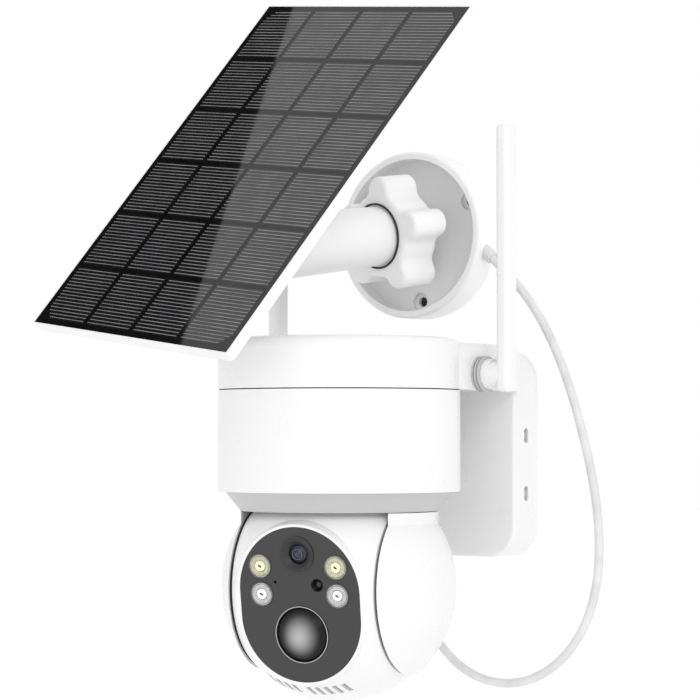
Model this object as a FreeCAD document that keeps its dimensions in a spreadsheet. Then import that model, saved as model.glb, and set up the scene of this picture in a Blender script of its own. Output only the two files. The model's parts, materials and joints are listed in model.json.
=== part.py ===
import FreeCAD, Part
import math
import os
import re

import Sketcher
from FreeCAD import Placement, Rotation, Vector

# Solar-powered pan-and-tilt security camera. Millimetres, +Z up, wall plane Y = 0, the camera
# looks along -Y. The origin is the centre of the wall bracket's back face.

SIZES = {
    # wall bracket and the rear box that clips over it
    "bracket_width": 83, "bracket_height": 84, "bracket_sheet": 2.5, "bracket_corner": 10.5,
    "bracket_hole_x": 44, "bracket_hole_z": 52, "wall_hole_radius": 2.3, "flange_height": 44,
    "flange_depth": 14, "flange_drop": 5,
    "box_width": 90, "box_height": 93, "box_depth": 20, "box_corner": 14, "box_wall": 2.4,
    "side_slot_radius": 1.7, "side_slot_straight": 3.4, "side_screw_radius": 1.5,
    "side_screw_upper": 8, "side_screw_lower": -18, "side_screw_reach": 10.5,
    "socket_radius": 4.6, "socket_bore": 2.8, "socket_length": 13, "socket_across": -10,
    # camera body
    "body_reach": 92, "body_radius": 52.5, "body_wall": 2.4, "body_low": -16, "body_top": 27.5,
    "cover_low": 28, "cover_top": 50, "cover_round": 4.5, "floor_bore": 42,
    "neck_half": 48, "neck_top": 48.5, "neck_wall": 2.4, "neck_round": 7,
    "post_radius": 3.4, "post_circle": 45.5, "chassis_low": -2.5, "chassis_sheet": 2,
    "chassis_radius": 49.6, "ring_low": -24.4, "ring_low_radius": 42.7, "ring_top_radius": 49.5,
    "ring_wall": 1.4,
    # pan drive
    "shaft_radius": 9, "shaft_bore": 5, "gear_module": 1, "pan_gear_teeth": 44,
    "pan_pinion_teeth": 12, "gear_width": 4, "pan_gear_low": 8, "fit_gap": 0.05,
    # electronics
    "board_radius": 40, "board_low": 16, "board_sheet": 1.6, "cell_radius": 9.2,
    "cell_length": 65, "cell_pitch": 19, "cell_height": 32.6,
    # antennas
    "antenna_across": 61.5, "antenna_reach": 53.5, "antenna_pivot": 34.7, "antenna_top": 143,
    "antenna_thick": 6.4, "antenna_width": 9, "antenna_hub": 7.8, "antenna_neck": 6.6,
    "antenna_pin": 2.5, "antenna_round": 2.2, "antenna_foot": 7.8, "antenna_seat": 4,
    "antenna_boss": 5.4, "wire_hole": 5,
    # yoke and ball
    "ball_height": -57, "pan_rest": 10, "tilt_rest": 9, "yoke_radius": 50.8, "yoke_wall": 2.4,
    "yoke_neck": 42.9, "turntable_radius": 40.9, "turntable_low": 50, "turntable_sheet": 3,
    "plate_inner": 34.6, "plate_sheet": 2, "ball_radius": 49.4, "ball_wall": 2.5,
    "vent_width": 2.2, "vent_length": 7.6, "vent_slant": 10, "vent_lean": 147,
    "vent_pitch": 4, "vent_left": 9, "vent_right": 2,
    "ball_half": 33, "recess_floor": 28.5, "recess_radius": 30, "hub_radius": 8,
    "hub_bore": 4.5, "tilt_gear_teeth": 30, "tilt_pinion_teeth": 10,
    # face of the ball
    "face_reach": 39, "face_radius": 27.8, "face_straight": 10.8, "face_sheet": 2,
    "snout_rim": 1.2, "lens_radius": 7.8, "lens_up": 21.5, "lamp_radius": 5.2,
    "lamp_across": 17.6, "lamp_upper": 16.3, "lamp_lower": 4.3, "pir_radius": 12.2,
    "pir_down": -12.7, "eye_radius": 2.8, "eye_across": 8.5, "eye_up": 8.6,
    "mic_radius": 0.7, "mic_across": -11, "mic_up": 9.6,
    # panel bracket
    "dish_across": -15, "dish_height": 100.7, "dish_radius": 38.6, "dish_depth": 15,
    "dish_recess": 35.2, "dish_floor": 5, "dish_circle": 30.5, "dish_sink": 4.2,
    "joint_reach": 24, "joint_ball": 9, "stud_radius": 4.5, "collet_radius": 13.3,
    "collet_bore": 11, "arm_root_radius": 13.5, "arm_end_radius": 14.7, "arm_length": 96,
    "arm_bore": 9, "knob_radius": 27, "knob_lobe": 6.5, "knob_phase": 17, "knob_low": -7, "knob_high": 13,
    # solar panel
    "panel_yaw": -7.7, "panel_lean": 52.2, "panel_roll": -9, "arm_bend": 45.8,
    "panel_width": 135.3, "panel_height": 193.1, "panel_lip": 0.8, "panel_depth": 5,
    "laminate_sheet": 1.4, "glass_sheet": 1, "cell_gap": 1.6, "elbow_depth": 20,
    "elbow_down": 32, "elbow_radius": 8, "tongue_half": 8, "ear_sheet": 3.5,
    # cable
    "cable_radius": 2,
}

ALONG_X = Rotation(Vector(0, 1, 0), 90)
ALONG_Y = Rotation(Vector(1, 0, 0), -90)
TOWARD_VIEW = Rotation(Vector(1, 0, 0), 90)

# The cable's route from the dish's grommet round to the plug under the rear box.
CABLE_ROUTE = [(26.2, -8, 88.6), (38, -8.5, 78.3), (49.5, -9, 65), (59.5, -9.5, 48.5),
               (68, -10, 29), (74.6, -10, 8), (79.8, -10, -13), (82.6, -10, -34),
               (82, -10, -55), (76.6, -10, -74), (66.5, -10, -89), (52.5, -10, -99.5),
               (37, -10, -104), (21.5, -10, -102.8), (8, -10, -96.5), (-3, -10, -86),
               (-10, -10, -74), (-10, -10, -62)]

os.makedirs("parts", exist_ok=True)
doc = FreeCAD.newDocument("solar_camera")
sheet = doc.addObject("Spreadsheet::Sheet", "Sizes")
for row, (alias, value) in enumerate(SIZES.items(), start=1):
    sheet.set("A%d" % row, alias)
    sheet.set("B%d" % row, str(value))
    sheet.setAlias("B%d" % row, alias)
doc.recompute()

nodes = {}


# ---------------------------------------------------------------- helpers

def size(alias):
    return float(sheet.get(alias))


def on_sheet(formula):
    """A formula in alias words, with each word pointed at the sheet."""
    return re.sub(r"[a-z]+(_[a-z]+)+", r"Sizes.\g<0>", str(formula))


def bind(item, **formulas):
    for name, formula in formulas.items():
        item.setExpression(name, on_sheet(formula))


def put(item, place, turn=None):
    """Bind an item's position to three formulas and give it a turn."""
    item.Placement = Placement(Vector(0, 0, 0), turn or Rotation())
    for letter, formula in zip("xyz", place):
        item.setExpression("Placement.Base." + letter, on_sheet(formula))


def cylinder(name, radius, height, place=(0, 0, 0), turn=None):
    item = doc.addObject("Part::Cylinder", name)
    bind(item, Radius=radius, Height=height)
    put(item, place, turn)
    return item


def cone(name, low, high, height, place=(0, 0, 0), turn=None):
    item = doc.addObject("Part::Cone", name)
    bind(item, Radius1=low, Radius2=high, Height=height)
    put(item, place, turn)
    return item


def ball(name, radius, place=(0, 0, 0)):
    item = doc.addObject("Part::Sphere", name)
    bind(item, Radius=radius)
    put(item, place)
    return item


def block(name, spans):
    """A box given by its (low, high) formulas along X, Y and Z."""
    item = doc.addObject("Part::Box", name)
    extents = ["(%s) - (%s)" % (high, low) for low, high in spans]
    bind(item, Length=extents[0], Width=extents[1], Height=extents[2])
    put(item, [low for low, high in spans])
    return item


def fuse(name, shapes):
    item = doc.addObject("Part::MultiFuse", name)
    item.Shapes = shapes
    return item


def common(name, shapes):
    item = doc.addObject("Part::MultiCommon", name)
    item.Shapes = shapes
    return item


def cut(name, base, tools):
    item = doc.addObject("Part::Cut", name)
    item.Base = base
    item.Tool = tools[0] if len(tools) == 1 else fuse(name + "_tools", tools)
    return item


def ring(name, outer, inner, height, place=(0, 0, 0), turn=None):
    rim = cylinder(name + "_rim", outer, height, place, turn)
    return cut(name, rim, [cylinder(name + "_bore", inner, height, place, turn)])


def rounded(name, base, radius, chosen):
    """Fillet the base's edges that the test picks."""
    doc.recompute()
    item = doc.addObject("Part::Fillet", name)
    item.Base = base
    edges = base.Shape.Edges
    item.Edges = [(i + 1, radius, radius) for i, edge in enumerate(edges) if chosen(edge)]
    return item


def group(name, shapes):
    item = doc.addObject("Part::Compound", name)
    item.Links = shapes
    return item


def node(label, item, place=None):
    """Name a finished sub-part; a place moves it from the frame that it was drawn in."""
    if place is not None:
        if item.TypeId in ("Part::Box", "Part::Cylinder"):
            item = group(label + "_placed", [item])
        item.Placement = place
    item.Label = label
    nodes[label] = item
    return item


def origin_plane(body, role):
    return next(part for part in body.Origin.OriginFeatures if part.Role == role)


def new_sketch(body, name, role, offset=0):
    sketch = body.newObject("Sketcher::SketchObject", name)
    sketch.AttachmentSupport = [(origin_plane(body, role), "")]
    sketch.MapMode = "FlatFace"
    sketch.setExpression("AttachmentOffset.Base.z", on_sheet(offset))
    return sketch


def name_and_bind(sketch, index, name, formula):
    sketch.renameConstraint(index, name)
    sketch.setExpression("Constraints." + name, on_sheet(formula))


def rectangle(sketch, width, height):
    """A rectangle centred on the sketch's origin."""
    corners = [Vector(-5, -5, 0), Vector(5, -5, 0), Vector(5, 5, 0), Vector(-5, 5, 0)]
    for i in range(4):
        sketch.addGeometry(Part.LineSegment(corners[i], corners[(i + 1) % 4]), False)
    for i in range(4):
        sketch.addConstraint(Sketcher.Constraint("Coincident", i, 2, (i + 1) % 4, 1))
    for i in range(4):
        flat = "Horizontal" if i % 2 == 0 else "Vertical"
        sketch.addConstraint(Sketcher.Constraint(flat, i))
    sketch.addConstraint(Sketcher.Constraint("Symmetric", 0, 1, 2, 1, -1, 1))
    across = sketch.addConstraint(Sketcher.Constraint("DistanceX", 0, 1, 0, 2, 10))
    name_and_bind(sketch, across, "across", width)
    up = sketch.addConstraint(Sketcher.Constraint("DistanceY", 1, 1, 1, 2, 10))
    name_and_bind(sketch, up, "up", height)


def circle(sketch, radius, across=0, up=0, index=0):
    """A circle at bound distances from the sketch's axes."""
    tag = str(index)
    shape = sketch.addGeometry(Part.Circle(Vector(20, 20, 0), Vector(0, 0, 1), 3), False)
    value = sketch.addConstraint(Sketcher.Constraint("Radius", shape, 3))
    name_and_bind(sketch, value, "radius" + tag, radius)
    value = sketch.addConstraint(Sketcher.Constraint("DistanceX", -1, 1, shape, 3, 20))
    name_and_bind(sketch, value, "across" + tag, across)
    value = sketch.addConstraint(Sketcher.Constraint("DistanceY", -1, 1, shape, 3, 20))
    name_and_bind(sketch, value, "up" + tag, up)


def obround(sketch, radius, straight):
    """Two half circles one above the other, joined by straight sides."""
    half = math.pi
    top = Part.Circle(Vector(0, 5, 0), Vector(0, 0, 1), 10)
    low = Part.Circle(Vector(0, -5, 0), Vector(0, 0, 1), 10)
    sketch.addGeometry(Part.ArcOfCircle(top, 0, half), False)
    sketch.addGeometry(Part.ArcOfCircle(low, half, 2 * half), False)
    sketch.addGeometry(Part.LineSegment(Vector(-10, 5, 0), Vector(-10, -5, 0)), False)
    sketch.addGeometry(Part.LineSegment(Vector(10, -5, 0), Vector(10, 5, 0)), False)
    for ends in ((0, 2, 2, 1), (2, 2, 1, 1), (1, 2, 3, 1), (3, 2, 0, 1)):
        sketch.addConstraint(Sketcher.Constraint("Tangent", *ends))
    sketch.addConstraint(Sketcher.Constraint("Vertical", 2))
    sketch.addConstraint(Sketcher.Constraint("Symmetric", 0, 3, 1, 3, -1, 1))
    value = sketch.addConstraint(Sketcher.Constraint("Radius", 0, 10))
    name_and_bind(sketch, value, "radius", radius)
    value = sketch.addConstraint(Sketcher.Constraint("DistanceY", 1, 3, 0, 3, 10))
    name_and_bind(sketch, value, "straight", straight)


def new_body(name):
    return doc.addObject("PartDesign::Body", name)


def pad(body, name, sketch, length, taper=0, backward=False):
    feature = body.newObject("PartDesign::Pad", name)
    feature.Profile = sketch
    feature.Reversed = backward
    bind(feature, Length=length)
    feature.TaperAngle = taper
    body.Tip = feature
    doc.recompute()
    return feature


def pocket(body, name, sketch, depth, backward=False):
    before = body.Shape.Volume
    feature = body.newObject("PartDesign::Pocket", name)
    feature.Profile = sketch
    feature.Reversed = backward
    bind(feature, Length=depth)
    body.Tip = feature
    doc.recompute()
    if body.Shape.Volume > before - 0.01:
        raise RuntimeError("pocket %s cuts nothing" % name)
    return feature


def soften(body, name, radius, chosen):
    """Fillet a body's edges that the test picks."""
    base = body.Tip
    feature = body.newObject("PartDesign::Fillet", name)
    edges = [i + 1 for i, edge in enumerate(base.Shape.Edges) if chosen(edge)]
    feature.Base = (base, ["Edge%d" % i for i in edges])
    bind(feature, Radius=radius)
    body.Tip = feature
    doc.recompute()
    return feature


def copies_round(body, name, feature, axis_role, count):
    pattern = body.newObject("PartDesign::PolarPattern", name)
    pattern.Originals = [feature]
    pattern.Axis = (origin_plane(body, axis_role), [""])
    pattern.Angle = 360
    bind(pattern, Occurrences=count)
    body.Tip = pattern
    doc.recompute()
    return pattern


def runs_along(edge, direction):
    """True for a straight edge parallel to the direction."""
    ends = [vertex.Point for vertex in edge.Vertexes]
    if len(ends) != 2 or not isinstance(edge.Curve, Part.Line):
        return False
    return (ends[1] - ends[0]).cross(direction).Length < 1e-6


def lies_at(edge, axis, value):
    """True for an edge whose points all have this coordinate."""
    points = edge.discretize(5)
    return all(abs(getattr(point, axis) - value) < 1e-4 for point in points)


def gear(name, teeth_alias, width, bore):
    """A spur gear along +Z: slim straight-sided teeth, so that a meshed pair has backlash."""
    teeth = int(size(teeth_alias))
    module = size("gear_module")
    pitch = module * teeth / 2
    root = pitch - 1.15 * module
    wheel = new_body(name)
    disc = new_sketch(wheel, name + "_disc", "XY_Plane")
    circle(disc, "gear_module * (%s / 2 - 1.15)" % teeth_alias)
    pad(wheel, name + "_blank", disc, width)
    tooth = new_sketch(wheel, name + "_tooth", "XY_Plane")
    low = 0.36 * module * math.pi / 2 * 1.5
    high = 0.36 * module * math.pi / 2 * 0.55
    inner = root - 0.3 * module
    outer = pitch + 0.8 * module
    corners = [Vector(inner, -low, 0), Vector(outer, -high, 0), Vector(outer, high, 0),
               Vector(inner, low, 0)]
    for i in range(4):
        tooth.addGeometry(Part.LineSegment(corners[i], corners[(i + 1) % 4]), False)
        tooth.addConstraint(Sketcher.Constraint("Block", i))
    first = pad(wheel, name + "_first", tooth, width)
    copies_round(wheel, name + "_teeth", first, "Z_Axis", teeth_alias)
    hole = new_sketch(wheel, name + "_hole", "XY_Plane")
    circle(hole, bore)
    pocket(wheel, name + "_bored", hole, width, backward=True)
    return wheel


# ---------------------------------------------------------------- wall bracket and rear box

def make_wall_bracket():
    plate = new_body("bracket_plate")
    face = new_sketch(plate, "bracket_face", "XZ_Plane")
    rectangle(face, "bracket_width", "bracket_height")
    pad(plate, "bracket_pad", face, "bracket_sheet")
    soften(plate, "bracket_round", "bracket_corner", lambda e: runs_along(e, Vector(0, 1, 0)))
    holes = new_sketch(plate, "bracket_holes", "XZ_Plane")
    index = 0
    for across in (-1, 1):
        for up in (-1, 1):
            circle(holes, "wall_hole_radius", "%d * bracket_hole_x / 2" % across,
                   "%d * bracket_hole_z / 2" % up, index)
            index += 1
    pocket(plate, "bracket_drilled", holes, "bracket_sheet", backward=True)
    flanges = []
    for name, side in (("left", -1), ("right", 1)):
        inner = "%d * (bracket_width / 2 - bracket_sheet)" % side
        outer = "%d * bracket_width / 2" % side
        across = (inner, outer) if side > 0 else (outer, inner)
        flanges.append(block("flange_" + name, [
            across, ("-flange_depth", "-bracket_sheet"),
            ("-flange_drop - flange_height / 2", "-flange_drop + flange_height / 2")]))
    whole = fuse("bracket_whole", [plate] + flanges)
    threads = [side_screw("bracket_thread", side, height)
               for side in (-1, 1) for height in ("side_screw_upper", "side_screw_lower")]
    node("wall_bracket", cut("wall_bracket", whole, threads))


def side_screw(name, side, height):
    """One set screw through the box's side into the bracket's flange."""
    start = "%d * (box_width / 2 - 0.8)" % side
    turn = ALONG_X if side < 0 else Rotation(Vector(0, 1, 0), -90)
    return cylinder(name, "side_screw_radius", "side_screw_reach - 2",
                    (start, "-box_depth / 2", height), turn)


def make_side_screws():
    screws = [side_screw("side_screw", side, height)
              for side in (-1, 1) for height in ("side_screw_upper", "side_screw_lower")]
    node("bracket_screws", group("bracket_screws", screws))


def make_rear_box():
    shell = new_body("rear_shell")
    face = new_sketch(shell, "rear_face", "XZ_Plane")
    rectangle(face, "box_width", "box_height")
    pad(shell, "rear_pad", face, "box_depth")
    soften(shell, "rear_corners", "box_corner", lambda e: runs_along(e, Vector(0, 1, 0)))
    soften(shell, "rear_edge", 1.6, lambda e: lies_at(e, "y", -size("box_depth")))
    inner = new_body("rear_hollow")
    hollow = new_sketch(inner, "rear_inside", "XZ_Plane")
    rectangle(hollow, "box_width - 2 * box_wall", "box_height - 2 * box_wall")
    pad(inner, "rear_inside_pad", hollow, "box_depth - box_wall")
    soften(inner, "rear_inside_corners", "box_corner - box_wall",
           lambda e: runs_along(e, Vector(0, 1, 0)))
    window = block("wire_window", [(-30, 30), ("-box_depth - 1", 0), (31, 43)])
    socket_hole = cylinder("socket_hole", "socket_radius", 8,
                           ("socket_across", "-box_depth / 2", "-box_height / 2 - 4"))
    slots = []
    for side in (-1, 1):
        for height in ("side_screw_upper", "side_screw_lower"):
            low = "%d * box_width / 2 - 3" % side
            for shift in (-0.5, 0.5):
                middle = "%s + %s * side_slot_straight" % (height, shift)
                slots.append(cylinder("slot_end", "side_slot_radius", 6,
                                      (low, "-box_depth / 2", middle), ALONG_X))
            slots.append(block("slot_middle", [
                (low, "%s + 6" % low),
                ("-box_depth / 2 - side_slot_radius", "-box_depth / 2 + side_slot_radius"),
                ("%s - side_slot_straight / 2" % height, "%s + side_slot_straight / 2" % height)]))
    node("rear_box", cut("rear_box", shell, [inner, window, socket_hole] + slots))


def make_power_socket():
    low = "-box_height / 2"
    place = ("socket_across", "-box_depth / 2", low)
    flange = cylinder("socket_flange", "socket_radius + 1.6", 1.2,
                      ("socket_across", "-box_depth / 2", "-box_height / 2 + box_wall"))
    barrel = cylinder("socket_barrel", "socket_radius", "socket_length", place)
    bore = cylinder("socket_mouth", "socket_bore", "socket_length - 2", place)
    node("power_socket", cut("power_socket", fuse("socket_solid", [barrel, flange]), [bore]))


# ---------------------------------------------------------------- camera body

def body_cylinder(name, radius, low, high, extra=0):
    return cylinder(name, radius, "(%s) - (%s)" % (high, low), (0, "-body_reach", low))


def post_places(low):
    """Four places on the post circle, on the diagonals."""
    step = "post_circle * 0.70710678"
    return [("%d * %s" % (across, step), "-body_reach + %d * %s" % (along, step), low)
            for across in (-1, 1) for along in (-1, 1)]


def make_body_shell():
    outer = body_cylinder("shell_outer", "body_radius", "body_low", "body_top")
    inner = body_cylinder("shell_inner", "body_radius - body_wall", "body_low + body_wall",
                          "body_top")
    bore = body_cylinder("shell_bore", "floor_bore", "body_low", "body_low + body_wall")
    cup = cut("shell_cup", outer, [inner, bore])
    posts = [cylinder("shell_post", "post_radius", "chassis_low - body_low - body_wall", place)
             for place in post_places("body_low + body_wall")]
    solid = fuse("shell_solid", [cup] + posts)
    screws = [cylinder("shell_screw_hole", "side_screw_radius", 20, place)
              for place in post_places("body_low")]
    heads = [cylinder("shell_head_hole", 2.8, 1.8, place) for place in post_places("body_low")]
    node("body_shell", cut("body_shell", solid, screws + heads))


def make_top_cover():
    dome = body_cylinder("cover_dome_blank", "body_radius", "cover_low", "cover_top")
    top = size("cover_top")
    dome = rounded("cover_dome", dome, size("cover_round"), lambda e: lies_at(e, "z", top))
    neck = block("cover_neck_blank", [("-neck_half", "neck_half"), ("-body_reach", "-box_depth"),
                                      ("cover_low", "neck_top")])
    high = size("neck_top")
    neck = rounded("cover_neck", neck, size("neck_round"),
                   lambda e: runs_along(e, Vector(0, 1, 0)) and lies_at(e, "z", high))
    outer = fuse("cover_outer", [dome, neck])
    hollow = body_cylinder("cover_hollow", "body_radius - body_wall", "cover_low",
                           "cover_top - body_wall")
    tunnel = block("cover_tunnel_blank", [
        ("-neck_half + neck_wall", "neck_half - neck_wall"),
        ("-body_reach", "-box_depth - neck_wall"),
        ("cover_low + neck_wall", "neck_top - neck_wall")])
    inner_high = size("neck_top") - size("neck_wall")
    tunnel = rounded("cover_tunnel", tunnel, size("neck_round") - size("neck_wall"),
                     lambda e: runs_along(e, Vector(0, 1, 0)) and lies_at(e, "z", inner_high))
    shell = cut("cover_shell", outer, [hollow, tunnel])
    top_low = "chassis_low + chassis_sheet"
    posts = [cylinder("cover_post", "post_radius", "cover_top - 2 - (%s)" % top_low, place)
             for place in post_places(top_low)]
    pins = [side_pin(side, "antenna_pin", "neck_half - 6", "neck_half + 1")
            for side in (-1, 1)]
    pilots = [cylinder("cover_pilot", "side_screw_radius", 14, place)
              for place in post_places(top_low)]
    wires = cylinder("cover_wire_hole", "wire_hole", "neck_wall + 2",
                     (0, "-box_depth + 1", "neck_top - 11"), Rotation(Vector(1, 0, 0), 90))
    tools = pilots + pins + [wires]
    node("top_cover", cut("top_cover", fuse("cover_solid", [shell] + posts), tools))


def make_body_trim():
    node("cover_seal", ring("cover_seal", "body_radius - 0.6", "body_radius - body_wall",
                            "cover_low - body_top", (0, "-body_reach", "body_top")))
    height = "body_low - ring_low"
    place = (0, "-body_reach", "ring_low")
    outer = cone("lower_ring_outer", "ring_low_radius", "ring_top_radius", height, place)
    inner = cone("lower_ring_inner", "ring_low_radius - ring_wall",
                 "ring_top_radius - ring_wall", height, place)
    node("lower_ring", cut("lower_ring", outer, [inner]))
    shanks = [cylinder("body_screw_shank", "side_screw_radius", 24, place)
              for place in post_places("body_low + 1.6")]
    heads = [cylinder("body_screw_head", 2.7, 1.5, place)
             for place in post_places("body_low + 0.2")]
    screws = [fuse("body_screw", [shank, head]) for shank, head in zip(shanks, heads)]
    node("body_screws", group("body_screws", screws))


def make_chassis():
    plate = body_cylinder("chassis_blank", "chassis_radius", "chassis_low",
                          "chassis_low + chassis_sheet")
    bore = body_cylinder("chassis_bore", "shaft_radius + fit_gap", "chassis_low", "chassis_low + 4")
    screws = [cylinder("chassis_hole", "side_screw_radius", 6, place)
              for place in post_places("chassis_low - 1")]
    node("chassis_plate", cut("chassis_plate", plate, [bore] + screws))
    node("pan_bearing", ring("pan_bearing", "shaft_radius + 4", "shaft_radius + fit_gap", 5.5,
                             (0, "-body_reach", "chassis_low + chassis_sheet")))


def pan_pinion_place(height):
    return ("-(pan_gear_teeth + pan_pinion_teeth) / 2 * gear_module", "-body_reach", height)


def make_pan_drive():
    low = "chassis_low + chassis_sheet"
    case = cylinder("pan_motor_case", 10, "pan_gear_low - 1 - (%s)" % low, pan_pinion_place(low))
    bore = cylinder("pan_motor_bore", 1.55, 12, pan_pinion_place(low))
    node("pan_motor", cut("pan_motor", case, [bore]))
    wheel = gear("pan_pinion_wheel", "pan_pinion_teeth", "gear_width", "1.5")
    # half a tooth pitch of turn puts a tooth of the pinion in a gap of the gear
    teeth = size("pan_pinion_teeth")
    across = -(size("pan_gear_teeth") + teeth) / 2 * size("gear_module")
    turn = Rotation(Vector(0, 0, 1), 180 / teeth)
    wheel.Placement = Placement(Vector(across, -size("body_reach"), size("pan_gear_low")), turn)
    spindle = cylinder("pan_spindle", 1.5, "pan_gear_low + gear_width - (%s)" % low,
                       pan_pinion_place(low))
    node("pan_pinion", fuse("pan_pinion", [wheel, spindle]))
    wheel = gear("pan_wheel", "pan_gear_teeth", "gear_width", "shaft_radius")
    node("pan_gear", wheel, Placement(Vector(0, -size("body_reach"), size("pan_gear_low")),
                                      Rotation()))


def make_electronics():
    board = body_cylinder("board_blank", "board_radius", "board_low", "board_low + board_sheet")
    top = "board_low + board_sheet"
    chips = []
    for across, along, wide, deep, tall in ((-14, 8, 14, 14, 1.2), (8, 12, 10, 12, 1),
                                            (10, -14, 9, 7, 2.2), (-16, -16, 6, 12, 1.8)):
        chips.append(block("board_chip", [
            (across - wide / 2, across + wide / 2),
            ("-body_reach + %s" % (along - deep / 2), "-body_reach + %s" % (along + deep / 2)),
            (top, "%s + %s" % (top, tall))]))
    node("control_board", group("control_board", [board] + chips))
    half_long = "cell_length / 2 + 1.2"
    half_wide = "1.5 * cell_pitch"
    low = "cell_height - cell_radius"
    tray = block("tray_blank", [("-(%s) - 1.6" % half_long, "%s + 1.6" % half_long),
                                ("-body_reach - %s" % half_wide, "-body_reach + %s" % half_wide),
                                ("%s - 2" % low, "cell_height - 2")])
    space = block("tray_space", [("-(%s)" % half_long, half_long),
                                 ("-body_reach - %s" % half_wide, "-body_reach + %s" % half_wide),
                                 (low, "cell_height")])
    node("battery_tray", cut("battery_tray", tray, [space]))
    cells = [cylinder("battery", "cell_radius", "cell_length",
                      ("-cell_length / 2", "-body_reach + %d * cell_pitch" % i, "cell_height"),
                      ALONG_X) for i in (-1, 0, 1)]
    node("battery_cells", group("battery_cells", cells))


# ---------------------------------------------------------------- antennas

def side_pin(side, radius, near, far):
    """A cylinder along X at an antenna's pivot, from near to far of the middle plane."""
    place = ("%d * (%s)" % (side, near), "-antenna_reach", "antenna_pivot")
    turn = ALONG_X if side > 0 else Rotation(Vector(0, 1, 0), -90)
    return cylinder("antenna_pin_part", radius, "(%s) - (%s)" % (far, near), place, turn)


def make_antenna(name, side):
    inner = "antenna_across - antenna_thick / 2"
    blade = new_body("blade_" + name)
    outline = new_sketch(blade, "blade_outline_" + name, "XY_Plane")
    rectangle(outline, "antenna_thick", "antenna_width")
    pad(blade, "blade_pad_" + name, outline, "antenna_top - antenna_pivot + antenna_foot")
    soften(blade, "blade_sides_" + name, "antenna_round",
           lambda e: runs_along(e, Vector(0, 0, 1)))
    height = size("antenna_top") - size("antenna_pivot") + size("antenna_foot")
    soften(blade, "blade_ends_" + name, "antenna_round",
           lambda e: lies_at(e, "z", height) or lies_at(e, "z", 0))
    blade.Placement = Placement(Vector(side * size("antenna_across"), -size("antenna_reach"),
                                       size("antenna_pivot") - size("antenna_foot")), Rotation())
    neck = side_pin(side, "antenna_neck", "neck_half + antenna_seat + 0.1", "neck_half + 7")
    hub = side_pin(side, "antenna_boss", "neck_half + 7", "%s + 1.5" % inner)
    pin = side_pin(side, "antenna_pin", "neck_half - 5", "neck_half + 7.5")
    node("antenna_" + name, fuse("antenna_" + name, [blade, neck, hub, pin]))


def make_antenna_seats():
    """The fixed grey seats between the neck and the antennas, each with two grooves."""
    seats = []
    for side in (-1, 1):
        seat = side_pin(side, "antenna_hub", "neck_half", "neck_half + antenna_seat")
        tools = [side_pin(side, "antenna_pin + fit_gap", "neck_half", "neck_half + antenna_seat")]
        for near in (0.9, 2.4):
            band = side_pin(side, "antenna_hub + 1", "neck_half + %s" % near,
                            "neck_half + %s + 0.7" % near)
            kept = side_pin(side, "antenna_hub - 0.7", "neck_half", "neck_half + antenna_seat")
            tools.append(cut("seat_groove", band, [kept]))
        seats.append(cut("antenna_seat", seat, tools))
    node("antenna_seats", group("antenna_seats", seats))


# ---------------------------------------------------------------- yoke, turned by the pan drive

def yoke_place():
    centre = Vector(0, -size("body_reach"), size("ball_height"))
    return Placement(centre, Rotation(Vector(0, 0, 1), size("pan_rest")))


def yoke_outline(name):
    """The outer skin of both cheeks: a ball with a short neck blended into it."""
    top = "ring_low - 0.3 - ball_height"
    skin = ball(name + "_ball", "yoke_radius")
    neck = cylinder(name + "_neck", "yoke_neck", "%s - 10" % top, (0, 0, 10))
    lid = cylinder(name + "_lid", "yoke_radius", "yoke_radius", (0, 0, top))
    return cut(name, fuse(name + "_whole", [skin, neck]), [lid])


def side_box(name, side, near, far, half=60):
    spans = ("%d * (%s)" % (side, near), "%d * (%s)" % (side, far))
    return block(name, [spans if side > 0 else spans[::-1], (-half, half), (-half, half)])


def make_yoke():
    place = yoke_place()
    plates = []
    for side in (-1, 1):
        lower = common("plate_lower", [yoke_outline("plate_skin"),
                                       side_box("plate_slab", side, "plate_inner",
                                                "plate_inner + plate_sheet")])
        drum = cylinder("plate_drum", "turntable_radius",
                        "turntable_low + turntable_sheet - 20", (0, 0, 20))
        upper = common("plate_upper", [drum, side_box("plate_slab", side, "plate_inner",
                                                      "plate_inner + plate_sheet")])
        plates += [lower, upper]
    disc = cylinder("turntable", "turntable_radius", "turntable_sheet", (0, 0, "turntable_low"))
    shaft = cylinder("pan_shaft", "shaft_radius",
                     "pan_gear_low + gear_width + 1 - ball_height - turntable_low",
                     (0, 0, "turntable_low"))
    solid = fuse("frame_solid", plates + [disc, shaft])
    bore = cylinder("frame_wire_bore", "shaft_bore", 40, (0, 0, "turntable_low - 5"))
    axle = cylinder("frame_axle_bore", "hub_radius + fit_gap", 90, (-45, 0, 0), ALONG_X)
    node("yoke_frame", cut("yoke_frame", solid, [bore, axle]), place)
    for name, side in (("left", -1), ("right", 1)):
        cheek = common("cheek_" + name, [yoke_outline("cheek_skin"),
                                         side_box("cheek_side", side,
                                                  "plate_inner + plate_sheet", 60)])
        inside = ball("cheek_inside", "yoke_radius - yoke_wall")
        node("yoke_cover_" + name, cut("yoke_cover_" + name, cheek, [inside]), place)


# ---------------------------------------------------------------- ball, turned by the tilt drive

def ball_place():
    turn = Rotation(Vector(0, 0, 1), size("pan_rest")) * Rotation(Vector(1, 0, 0),
                                                                  size("tilt_rest"))
    return Placement(Vector(0, -size("body_reach"), size("ball_height")), turn)


def snout(name, radius, reach, depth, taper=0):
    """An obround prism that starts at the face and runs back into the ball."""
    body = new_body(name)
    outline = new_sketch(body, name + "_outline", "XZ_Plane", reach)
    obround(outline, radius, "face_straight")
    pad(body, name + "_pad", outline, depth, taper, backward=True)
    return body


def face_peg(name, radius, across, up, front, back):
    """A round piece across the face, from its front to its back distance."""
    return cylinder(name, radius, "(%s) - (%s)" % (front, back),
                    (across, "-(%s)" % back, up), TOWARD_VIEW)


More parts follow.
